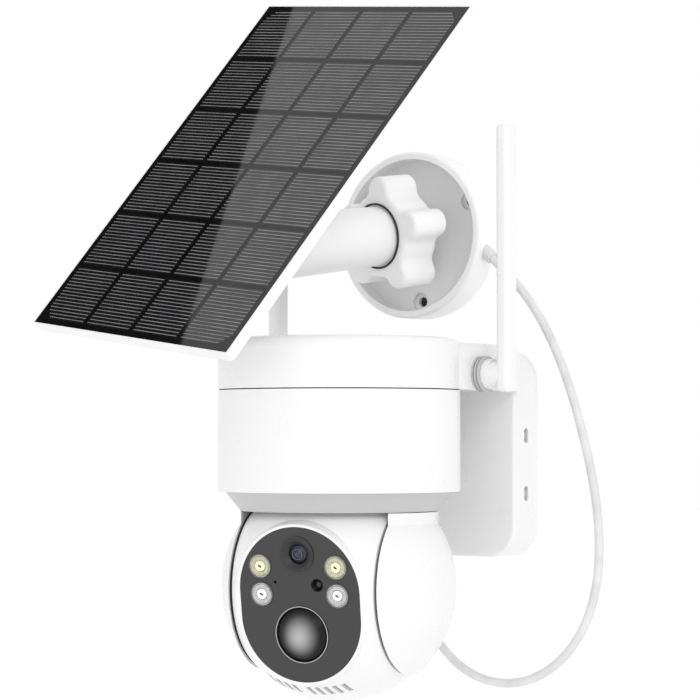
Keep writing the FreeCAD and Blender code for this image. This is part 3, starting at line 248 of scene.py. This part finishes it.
def rubber(name, color):
    shader = Shader(name, color, 0.62)
    shader.vary_color(shader.noise(0.01, 4), scaled(color, 0.88))
    shader.vary_roughness(shader.noise(0.004, 3), 0.08)
    shader.bump(shader.noise(0.0003, 3), 0.00002)
    return shader.material


def glossy(name, color, roughness, other, size, level=0.5):
    """A dark layer under one glossy surface, so that it mirrors like glass."""
    shader = Shader(name, color, roughness)
    shader.set("Specular IOR Level", level)
    shader.vary_color(shader.noise(size, 3), other)
    shader.vary_roughness(shader.noise(size, 2), 0.2 * roughness)
    shader.bump(shader.noise(0.03, 1), 0.000001)
    return shader.material


def clear(name, color, roughness, transmission):
    shader = Shader(name, color, roughness, IOR=1.49)
    shader.set("Transmission Weight", transmission)
    shader.vary_roughness(shader.noise(0.004, 3), 0.02)
    shader.bump(shader.noise(0.0015, 2), 0.000008)
    return shader.material


def circuit(name):
    """Green solder mask with paler tracks."""
    shader = Shader(name, (0.012, 0.10, 0.035), 0.35)
    tracks = shader.tree.nodes.new("ShaderNodeTexVoronoi")
    tracks.distance = "MANHATTAN"
    tracks.inputs["Scale"].default_value = 260
    shader.link(shader.place, tracks, "Vector")
    shader.vary_color(tracks.outputs["Distance"], (0.03, 0.24, 0.09), 0.35, 0.5)
    shader.bump(tracks.outputs["Distance"], 0.00004)
    return shader.material


def motion_dome(name):
    """Smoked plastic, painted grey in the dome's middle and black towards its edge as a painted highlight."""
    shader = Shader(name, (0.006, 0.006, 0.0065), 0.42)
    shader.set("Specular IOR Level", 0.22)
    gradient = shader.tree.nodes.new("ShaderNodeTexGradient")
    gradient.gradient_type = "SPHERICAL"
    mapping = shader.tree.nodes.new("ShaderNodeMapping")
    mapping.vector_type = "TEXTURE"
    mapping.inputs["Location"].default_value = ON_FACE @ Vector((0.0006, PIR_UP, 0.0047))
    mapping.inputs["Scale"].default_value = (0.0108, 0.0108, 0.0125)
    shader.link(shader.place, mapping, "Vector")
    shader.link(mapping.outputs["Vector"], gradient, "Vector")
    # painted highlight: the base colour turns grey towards the dome's middle and stays black at its edge
    shader.vary_color(gradient.outputs["Fac"], (0.40, 0.40, 0.405), 0.10, 1.0)
    shader.bump(shader.noise(0.0016, 1), 0.00003)
    return shader.material


WHITE = (0.80, 0.80, 0.80)
MATERIALS = {
    "white_shell": moulded("white_shell", WHITE, 0.30),
    # white_arm is the same white plastic as white_shell, painted lighter to make up for the shade that the panel
    # throws on the arm and knob: painted light
    "white_arm": moulded("white_arm", (0.87, 0.87, 0.87), 0.36),
    "grey_trim": moulded("grey_trim", (0.50, 0.50, 0.50), 0.42),
    "black_face": moulded("black_face", (0.030, 0.030, 0.031), 0.22),
    "rubber": rubber("rubber", (0.025, 0.025, 0.026)),
    "steel": metal("steel", (0.56, 0.57, 0.58), 0.32),
    "brass": metal("brass", (0.72, 0.52, 0.22), 0.25),
    "nylon": moulded("nylon", (0.62, 0.61, 0.56), 0.5),
    "circuit": circuit("circuit"),
    "cell_wrap": moulded("cell_wrap", (0.02, 0.09, 0.35), 0.28),
    "lens_glass": glossy("lens_glass", (0.008, 0.010, 0.022), 0.06, (0.02, 0.03, 0.075),
                         0.003),
    "lamp_chip": moulded("lamp_chip", (0.85, 0.80, 0.30), 0.4),
    "reflector": metal("reflector", (0.86, 0.86, 0.86), 0.14),
    "clear_lens": clear("clear_lens", (0.95, 0.95, 0.93), 0.08, 0.9),
    "motion_lens": motion_dome("motion_lens"),
    "laminate": glossy("laminate", (0.003, 0.003, 0.0032), 0.02, (0.005, 0.005, 0.0055), 0.02,
                       0.3),
    "silicon": glossy("silicon", (0.005, 0.005, 0.006), 0.02, (0.009, 0.009, 0.011), 0.004),
    "panel_glass": clear("panel_glass", (0.9, 0.9, 0.9), 0.04, 0.9),
    "cable_jacket": rubber("cable_jacket", (0.70, 0.70, 0.70)),
    "motor_case": metal("motor_case", (0.5, 0.51, 0.52), 0.38),
}


def dress_cad_nodes():
    """Give each node that the CAD model brings the material of its slot."""
    for part in frame["record"]["subparts"]:
        mesh = frame["nodes"][part["node"]]
        if not mesh.material_slots:
            mesh.data.materials.append(None)
        for slot in mesh.material_slots:
            slot.material = MATERIALS[part["material_slot"]]


# ---------------------------------------------------------------- mesh helpers

def piece(name, mesh, matrix, material, body):
    """A finished object in the row frame that rides on a body."""
    mesh.transform(matrix)
    mesh.materials.append(material)
    obj = bpy.data.objects.new(name, mesh)
    bpy.context.scene.collection.objects.link(obj)
    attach(obj, body)
    return obj


def lathe(profile, places, segments=64):
    """Meshes of one closed profile of (radius, height) turned about +Z at each place."""
    built = bmesh.new()
    for across, up in places:
        rings = []
        for radius, height in profile:
            rings.append([built.verts.new((across + radius * math.cos(turn),
                                           up + radius * math.sin(turn), height))
                          for turn in (math.tau * i / segments for i in range(segments))])
        for low, high in zip(rings, rings[1:] + rings[:1]):
            for i in range(segments):
                after = (i + 1) % segments
                built.faces.new((low[i], low[after], high[after], high[i]))
    return finished(built)


def finished(built, smooth=True):
    bmesh.ops.remove_doubles(built, verts=built.verts, dist=1e-7)
    bmesh.ops.dissolve_degenerate(built, edges=built.edges, dist=1e-7)
    bmesh.ops.recalc_face_normals(built, faces=built.faces)
    mesh = bpy.data.meshes.new("mesh")
    built.to_mesh(mesh)
    built.free()
    for face in mesh.polygons:
        face.use_smooth = smooth
    return mesh


def prism(built, outline, low, high):
    """Add a straight prism over an outline of (x, y) points."""
    floor = [built.verts.new((x, y, low)) for x, y in outline]
    roof = [built.verts.new((x, y, high)) for x, y in outline]
    built.faces.new(floor[::-1])
    built.faces.new(roof)
    count = len(outline)
    for i in range(count):
        after = (i + 1) % count
        built.faces.new((floor[i], floor[after], roof[after], roof[i]))


# ---------------------------------------------------------------- solar panel

COLUMNS = 4
ROWS = 6
PANEL_MARGIN = 0.0018
CELL_GAP = 0.0025
CELL_CHAMFER = 0.0055
FINGERS = 16
FINGER_WIDTH = 0.00042
FINGER_INSET = 0.0004
LAMINATE_BACK = -0.0024
LAYER = 0.00006


def cell_outline(column, row):
    """A cell's corner points; the panel's four corner cells have the outer corner cut off."""
    wide = (PANEL_WIDTH - 2 * PANEL_MARGIN) / COLUMNS
    tall = (PANEL_HEIGHT - 2 * PANEL_MARGIN) / ROWS
    left = (column - COLUMNS / 2) * wide + CELL_GAP / 2
    low = (row - ROWS / 2) * tall + CELL_GAP / 2
    right = left + wide - CELL_GAP
    high = low + tall - CELL_GAP
    points = []
    for x, y, toward_x, toward_y in ((left, low, 1, 1), (right, low, -1, 1),
                                     (right, high, -1, -1), (left, high, 1, -1)):
        outer = (column == (0 if toward_x > 0 else COLUMNS - 1)
                 and row == (0 if toward_y > 0 else ROWS - 1))
        if not outer:
            points.append((x, y))
            continue
        along_x = (x + toward_x * CELL_CHAMFER, y)
        along_y = (x, y + toward_y * CELL_CHAMFER)
        points += [along_y, along_x] if toward_x == toward_y else [along_x, along_y]
    return points


def span_at(outline, height):
    """The outline's lowest and highest x on the line y = height."""
    crossings = []
    for (x0, y0), (x1, y1) in zip(outline, outline[1:] + outline[:1]):
        if (y0 - height) * (y1 - height) < 0:
            crossings.append(x0 + (x1 - x0) * (height - y0) / (y1 - y0))
    return min(crossings), max(crossings)


def make_panel_face():
    laminate = bmesh.new()
    half_x = PANEL_WIDTH / 2
    half_y = PANEL_HEIGHT / 2
    prism(laminate, [(-half_x, -half_y), (half_x, -half_y), (half_x, half_y),
                     (-half_x, half_y)], LAMINATE_BACK, -2 * LAYER)
    sheet = piece("laminate_face", finished(laminate, smooth=False), PANEL,
                  MATERIALS["laminate"], "panel")
    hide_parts("solar_backing", "panel_glass")
    cells = bmesh.new()
    fingers = bmesh.new()
    for column in range(COLUMNS):
        for row in range(ROWS):
            outline = cell_outline(column, row)
            prism(cells, outline, -3 * LAYER, -LAYER)
            low = min(y for x, y in outline)
            high = max(y for x, y in outline)
            pitch = (high - low) / FINGERS
            for i in range(FINGERS):
                middle = low + (i + 0.5) * pitch
                left, right = span_at(outline, middle)
                left += FINGER_INSET
                right -= FINGER_INSET
                under = middle - FINGER_WIDTH / 2
                over = middle + FINGER_WIDTH / 2
                prism(fingers, [(left, under), (right, under), (right, over), (left, over)],
                      -2 * LAYER, 0)
    silicon = piece("silicon_cells", finished(cells, smooth=False), PANEL,
                    MATERIALS["silicon"], "panel")
    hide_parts("solar_cells")
    silver = glossy("finger_silver", (0.20, 0.20, 0.20), 0.12, (0.14, 0.14, 0.14), 0.01)
    piece("cell_fingers", finished(fingers, smooth=False), PANEL, silver, "panel")


# ---------------------------------------------------------------- face of the camera

LENS_UP = 0.0215
LAMP_ACROSS = 0.0176
LAMP_UPPER = 0.0163
LAMP_LOWER = 0.0043
DIE_SLANT = math.radians(-35)
DIE_HALF_LENGTH = 0.8
DIE_HALF_WIDTH = 0.36
DIE_TOP = 0.00034
MILLI = 0.001


def in_metres(profile):
    return [(radius * MILLI, height * MILLI) for radius, height in profile]


def dome_profile(radius, rise, base, thickness=0.6, steps=14):
    """A closed shell profile of a shallow dome, in millimetres."""
    outside = (radius ** 2 + rise ** 2) / (2 * rise)
    edge = math.asin(min(radius / outside, 1))
    points = []
    for i in range(steps + 1):
        turn = edge * (1 - i / steps)
        points.append((outside * math.sin(turn), base + rise - outside * (1 - math.cos(turn))))
    under = [(max(r - 0.05, 0), h - thickness) for r, h in reversed(points)]
    return points + under


def make_lens():
    place = [(0, LENS_UP)]
    steps = [(7.3, 0.45), (6.9, 0.75), (6.4, 0.75), (6.1, 0.3), (5.5, 0.1), (5.2, -0.5),
             (4.8, -0.6), (4.5, -1.3), (4.2, -1.4), (4.2, -2.4), (4.9, -2.4), (7.3, 0.2)]
    matt = moulded("lens_black", (0.020, 0.020, 0.021), 0.5)
    piece("lens_rings", lathe(in_metres(steps), place), ON_FACE, matt, "camera_ball")
    dome = lathe(in_metres(dome_profile(4.1, 1.5, -2.2)), place)
    glass = glossy("front_element", (0.016, 0.020, 0.032), 0.05, (0.035, 0.042, 0.06), 0.002)
    element = piece("front_element", dome, ON_FACE, glass, "camera_ball")
    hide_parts("lens_glass")
    iris = lathe(in_metres([(2.6, -0.62), (2.3, -0.5), (2.05, -0.5), (1.75, -0.62)]), place)
    piece("iris_ring", iris, ON_FACE, metal("iris_tint", (0.13, 0.14, 0.17), 0.35),
          "camera_ball")


def lamp_rings(name, places, tint):
    """A ringed reflector and a clear ringed lens over it, drawn as opaque rings whose tones are painted light and
    shade: the reflector painted dark as painted shade, the lens a middle tone and the lens's middle painted bright
    as a painted highlight.
    """
    # painted shade on the reflector, a middle tone on the lens and a painted highlight on the lens's middle
    painted_shade_reflector = glossy(name + "_painted_shade_reflector", scaled(tint, 0.20), 0.30, scaled(tint, 0.14), 0.001)
    lens = glossy(name + "_lens", scaled(tint, 0.60), 0.20, scaled(tint, 0.45), 0.0012)
    middle = glossy(name + "_painted_highlight", scaled(tint, 0.86), 0.15, tint, 0.001)
    cup = [(5.05, -0.3), (5.05, 0.1), (4.75, 0.05), (4.4, -0.5), (3.9, -0.8), (3.9, -1.0),
           (4.9, -1.0)]
    skirt = [(4.35, -0.9), (4.2, 0.1), (3.95, 0.2), (3.7, 0.05), (3.45, -0.15), (3.2, 0.05),
             (2.95, 0.18), (2.7, -0.05), (2.45, -0.2), (2.35, -0.9)]
    core = [(2.3, -0.9), (2.25, 0.0), (2.0, 0.16), (1.5, 0.24), (0.8, 0.28), (0, 0.29), (0, -0.9)]
    piece(name + "_reflectors", lathe(in_metres(cup), places), ON_FACE, painted_shade_reflector, "camera_ball")
    piece(name + "_painted_highlights", lathe(in_metres(core), places), ON_FACE, middle, "camera_ball")
    return piece(name + "_lenses", lathe(in_metres(skirt), places), ON_FACE, lens, "camera_ball")


def make_lamps():
    upper = [(side * LAMP_ACROSS, LAMP_UPPER) for side in (-1, 1)]
    lower = [(side * LAMP_ACROSS, LAMP_LOWER) for side in (-1, 1)]
    lenses = lamp_rings("warm", upper, (0.95, 0.94, 0.66))
    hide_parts("lamp_lenses")
    lamp_rings("cool", lower, (0.95, 0.95, 0.95))
    rim = [(5.2, 0), (5.15, 0.3), (4.98, 0.38), (4.8, 0.3), (4.75, -0.2), (5.2, -0.2)]
    piece("lamp_rims", lathe(in_metres(rim), upper + lower), ON_FACE,
          moulded("lamp_rim", (0.10, 0.10, 0.10), 0.3), "camera_ball")
    dies = bmesh.new()
    for across, up in upper + lower:
        corners = []
        for side_x, side_y in ((-1, -1), (1, -1), (1, 1), (-1, 1)):
            x = side_x * DIE_HALF_LENGTH
            y = side_y * DIE_HALF_WIDTH
            corners.append((across + MILLI * (x * math.cos(DIE_SLANT) - y * math.sin(DIE_SLANT)),
                            up + MILLI * (x * math.sin(DIE_SLANT) + y * math.cos(DIE_SLANT))))
        prism(dies, corners, 0, DIE_TOP)
    piece("lamp_dies", finished(dies, smooth=False), ON_FACE, MATERIALS["rubber"],
          "camera_ball")


def make_motion_dome():
    dome = lathe(in_metres(dome_profile(11.4, 5.2, -0.4, 0.8, 24)), [(0, PIR_UP)], 96)
    shell = piece("motion_dome", dome, ON_FACE, MATERIALS["motion_lens"], "camera_ball")
    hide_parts("pir_lens")


def make_motion_ring():
    """A thin bright line round the motion dome, on a dark collar."""
    place = [(0, PIR_UP)]
    collar = [(11.5, -0.3), (11.55, 0.25), (12.25, 0.25), (12.3, -0.3)]
    dark = piece("motion_collar", lathe(in_metres(collar), place, 96), ON_FACE,
                 MATERIALS["black_face"], "camera_ball")
    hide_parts("pir_bezel")
    line = [(11.8, 0.2), (11.85, 0.42), (12.15, 0.42), (12.2, 0.2)]
    piece("motion_line", lathe(in_metres(line), place, 96), ON_FACE,
          moulded("motion_line", (0.42, 0.42, 0.42), 0.3), "camera_ball")


def make_light_sensor():
    """A dark tube with a slightly paler window at its bottom."""
    place = [SENSOR_PLACE]
    cup = [(2.75, -0.2), (2.6, 0.02), (2.4, -0.1), (2.3, -2.2), (0, -2.3), (0, -2.6),
           (2.75, -2.6)]
    dark = glossy("sensor_tube", (0.004, 0.004, 0.004), 0.35, (0.006, 0.006, 0.006), 0.002, 0.2)
    piece("light_sensor_tube", lathe(in_metres(cup), place), ON_FACE, dark, "camera_ball")
    window = [(1.7, -2.2), (1.5, -1.5), (0, -1.3), (0, -2.2)]
    sensor = piece("light_sensor_window", lathe(in_metres(window), place), ON_FACE,
                   MATERIALS["black_face"], "camera_ball")
    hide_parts("light_sensor")


# ---------------------------------------------------------------- small body details

def make_arm_shadow_ring():
    """A dark ring where the arm's tube meets the knob: painted shade standing for the shadow in the joint."""
    place = Matrix.Translation(Vector(JOINTS["arm_lift"]["pos_m"])) @ ARM_TURN
    profile = [(ARM_END_RADIUS - 0.5, 13.1), (ARM_END_RADIUS + 0.35, 13.1),
               (ARM_END_RADIUS + 0.35, 13.6), (ARM_END_RADIUS - 0.5, 13.6)]
    # painted shade: a dark ring for the shadow where the tube enters the knob
    piece("arm_shadow_ring", lathe(in_metres(profile), [(0, 0)], 96), place, MATERIALS["rubber"],
          "arm")


def make_yoke_shadow_discs():
    """Thin dark discs on the inner faces of the yoke's cheeks: painted shade that darkens the gap between the ball
    and the cheeks.
    """
    hub = Matrix.Translation(Vector(JOINTS["tilt"]["pos_m"])) @ turned(PAN_REST, "Z")
    for side, name in ((-1, "left"), (1, "right")):
        place = hub @ turned(math.radians(90 * side), "Y")
        near = YOKE_INNER - 0.35
        far = YOKE_INNER - 0.05
        profile = [(YOKE_HUB, near), (YOKE_SHADOW_DISC_RADIUS, near), (YOKE_SHADOW_DISC_RADIUS, far), (YOKE_HUB, far)]
        # painted shade: a dark disc for the shadow inside the cheek
        piece("yoke_shadow_disc_" + name, lathe(in_metres(profile), [(0, 0)], 96), place,
              MATERIALS["rubber"], "yoke")


def make_hole_shadow_discs():
    """Dark discs closing the back of the wall plate's holes: painted shade, so the holes read dark instead of
    showing what lies behind them.
    """
    centre = Vector((DISH_ACROSS, 0, DISH_UP))
    places = []
    for angle in (30, 150, 270):
        turn = math.radians(angle)
        places.append((DISH_CIRCLE * math.cos(turn), DISH_CIRCLE * math.sin(turn)))
    profile = [(0, 0.15), (2.22, 0.15), (2.22, 1.1), (0, 1.1)]
    place = Matrix.Translation(centre) @ turned(math.radians(90), "X")
    # painted shade: dark discs for the shadow inside the holes
    piece("hole_shadow_discs", lathe(in_metres(profile), places, 32), place, MATERIALS["rubber"],
          "root")


# ---------------------------------------------------------------- cable ends

def make_boot():
    """A ribbed sleeve where the cable enters its plug."""
    top = CABLE_ROUTE[-1]
    ribs = 5
    profile = [(2.1, -14), (2.9, -14)]
    for i in range(ribs):
        high = -12.5 + 2.5 * i
        radius = 2.9 + 0.2 * i
        profile += [(radius, high), (radius - 0.5, high + 0.3), (radius - 0.5, high + 0.9),
                    (radius + 0.1, high + 1.2)]
    profile += [(4.1, 0), (2.1, 0)]
    place = Matrix.Translation(Vector(top))
    return piece("plug_boot", lathe(in_metres(profile), [(0, 0)], 40), place,
                 MATERIALS["cable_jacket"], "root")


# ---------------------------------------------------------------- studio

def area_light(name, place, size, power):
    """A square soft light that faces the camera body."""
    data = bpy.data.lights.new(name, "AREA")
    data.size = size
    data.energy = power
    light = bpy.data.objects.new(name, data)
    bpy.context.scene.collection.objects.link(light)
    light.location = place
    light.rotation_euler = (Vector(place) - VIEW_AIM).to_track_quat("Z", "Y").to_euler()


def card(name, corners, color, glow=0):
    """A flat studio card or floor through four corners, which can glow a little."""
    mesh = bpy.data.meshes.new(name)
    mesh.from_pydata([tuple(corner) for corner in corners], [], [(0, 1, 2, 3)])
    obj = bpy.data.objects.new(name, mesh)
    bpy.context.scene.collection.objects.link(obj)
    shader = Shader(name, color, 0.9)
    shader.set("Emission Color", (1, 1, 1, 1))
    shader.set("Emission Strength", glow)
    mesh.materials.append(shader.material)
    return obj


def mirrored_ray(camera, across, up, reach):
    """Where the view of a panel point, reflected in the panel, arrives after this distance."""
    point = PANEL @ Vector((across * PANEL_WIDTH / 2, up * PANEL_HEIGHT / 2, 0))
    normal = (PANEL.to_3x3() @ Vector((0, 0, 1))).normalized()
    inward = (point - camera.location).normalized()
    return point + inward.reflect(normal) * reach


FLOOR = -0.42
FLOOR_HALF = 12
FLAG_REACH = 2.2
FLAG_WIDTH = 1.2
FLAG_BEYOND = 1.5


def make_studio(camera):
    world = bpy.data.worlds.new("studio")
    world.use_nodes = True
    world.node_tree.nodes["Background"].inputs["Color"].default_value = (1, 1, 1, 1)
    world.node_tree.nodes["Background"].inputs["Strength"].default_value = WORLD
    bpy.context.scene.world = world
    bpy.context.scene.view_settings.view_transform = "Standard"
    sides = ((-1, -1), (1, -1), (1, 1), (-1, 1))
    corners = [(x * FLOOR_HALF, y * FLOOR_HALF, FLOOR) for x, y in sides]
    card("floor", corners, (0.98, 0.98, 0.98), 0.05)
    area_light("key", (1.9, -1.3, 1.2), 0.9, 12)
    area_light("fill", (0.5, -2.4, 0.2), 1.4, 4)
    # a dark card that the panel reflects left of a slanting line, as a studio flag does
    top = mirrored_ray(camera, -0.74, 1.0, FLAG_REACH)
    low = mirrored_ray(camera, 0.56, -1.0, FLAG_REACH)
    beyond_top = top + (top - low) * FLAG_BEYOND
    beyond_low = low + (low - top) * FLAG_BEYOND
    left = mirrored_ray(camera, -1.0, 0.0, FLAG_REACH)
    left = left - mirrored_ray(camera, 1.0, 0.0, FLAG_REACH)
    left = left.normalized() * FLAG_WIDTH
    flag = card("flag", [beyond_top, beyond_low, beyond_low + left, beyond_top + left],
                (0.01, 0.01, 0.01))
    flag.visible_camera = False
    flag.visible_diffuse = False
    flag.visible_shadow = False


view_camera = make_camera()
make_cable(MATERIALS["cable_jacket"], make_boot())
dress_cad_nodes()
make_panel_face()
make_lens()
make_lamps()
make_motion_dome()
make_motion_ring()
make_light_sensor()
make_arm_shadow_ring()
make_yoke_shadow_discs()
make_hole_shadow_discs()
make_studio(view_camera)
